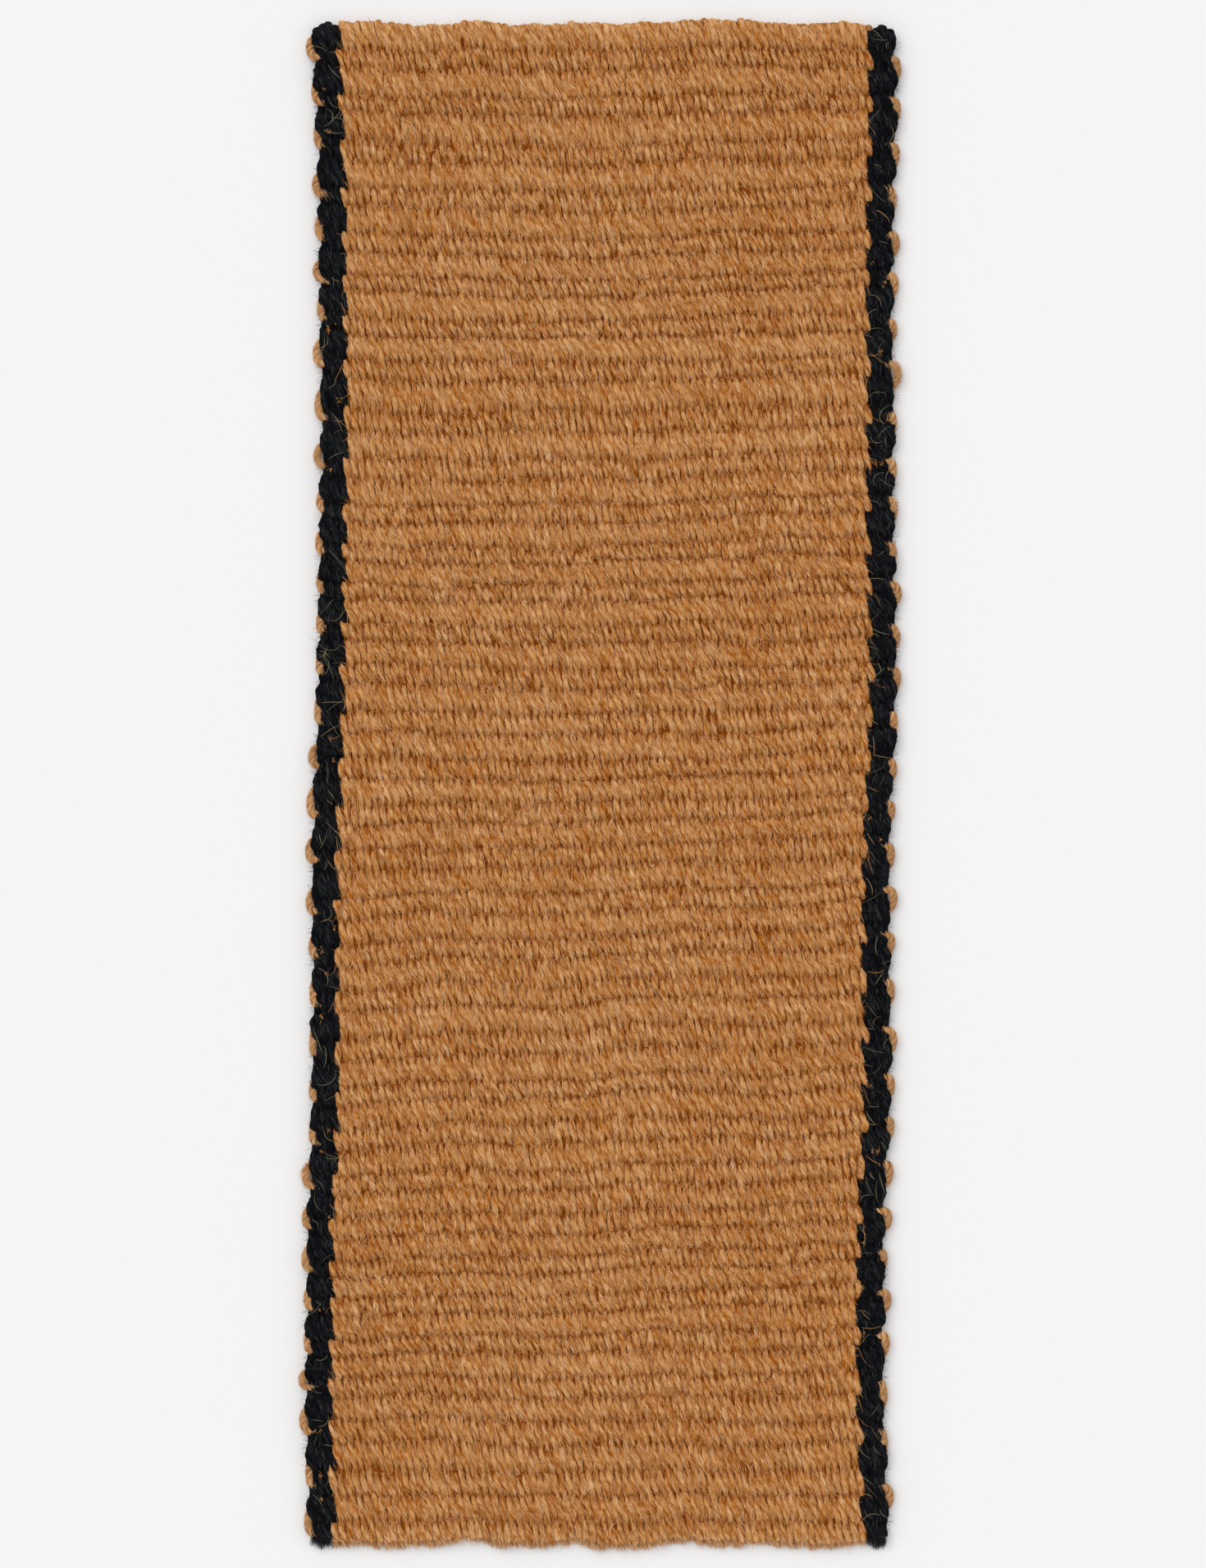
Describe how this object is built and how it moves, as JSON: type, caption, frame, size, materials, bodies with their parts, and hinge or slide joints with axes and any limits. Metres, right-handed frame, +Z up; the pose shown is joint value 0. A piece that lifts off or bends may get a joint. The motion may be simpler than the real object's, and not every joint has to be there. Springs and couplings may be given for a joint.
{
  "type": "runner rug",
  "caption": "Long narrow hand-woven floor rug: raised cross ribs of tan yarn, a black band along each long edge and weft loops at the selvedges.",
  "frame": {"origin": "middle of the rug's footprint, on the floor", "axes": "+X across the width, +Y along the length towards the end where the warp turns round the first pass, +Z up"},
  "size_m": [0.699, 1.81, 0.0168],
  "materials": {
    "weft_yarn": "coarse plied natural-fibre cord, matt",
    "black_yarn": "dyed plied natural-fibre yarn, matt, hairy",
    "tan_yarn": "undyed plied natural-fibre yarn, matt, hairy"
  },
  "bodies": {
    "root": {"weft_cord": "weft_yarn", "black_warp_left_1": "black_yarn", "black_warp_left_2": "black_yarn", "black_warp_left_3": "black_yarn", "black_warp_left_4": "black_yarn", "black_warp_right_1": "black_yarn", "black_warp_right_2": "black_yarn", "black_warp_right_3": "black_yarn", "black_warp_right_4": "black_yarn", "tan_warp_01": "tan_yarn", "tan_warp_02": "tan_yarn", "tan_warp_03": "tan_yarn", "tan_warp_04": "tan_yarn", "tan_warp_05": "tan_yarn", "tan_warp_06": "tan_yarn", "tan_warp_07": "tan_yarn", "tan_warp_08": "tan_yarn", "tan_warp_09": "tan_yarn", "tan_warp_10": "tan_yarn", "tan_warp_11": "tan_yarn", "tan_warp_12": "tan_yarn"}
  },
  "joints": []
}
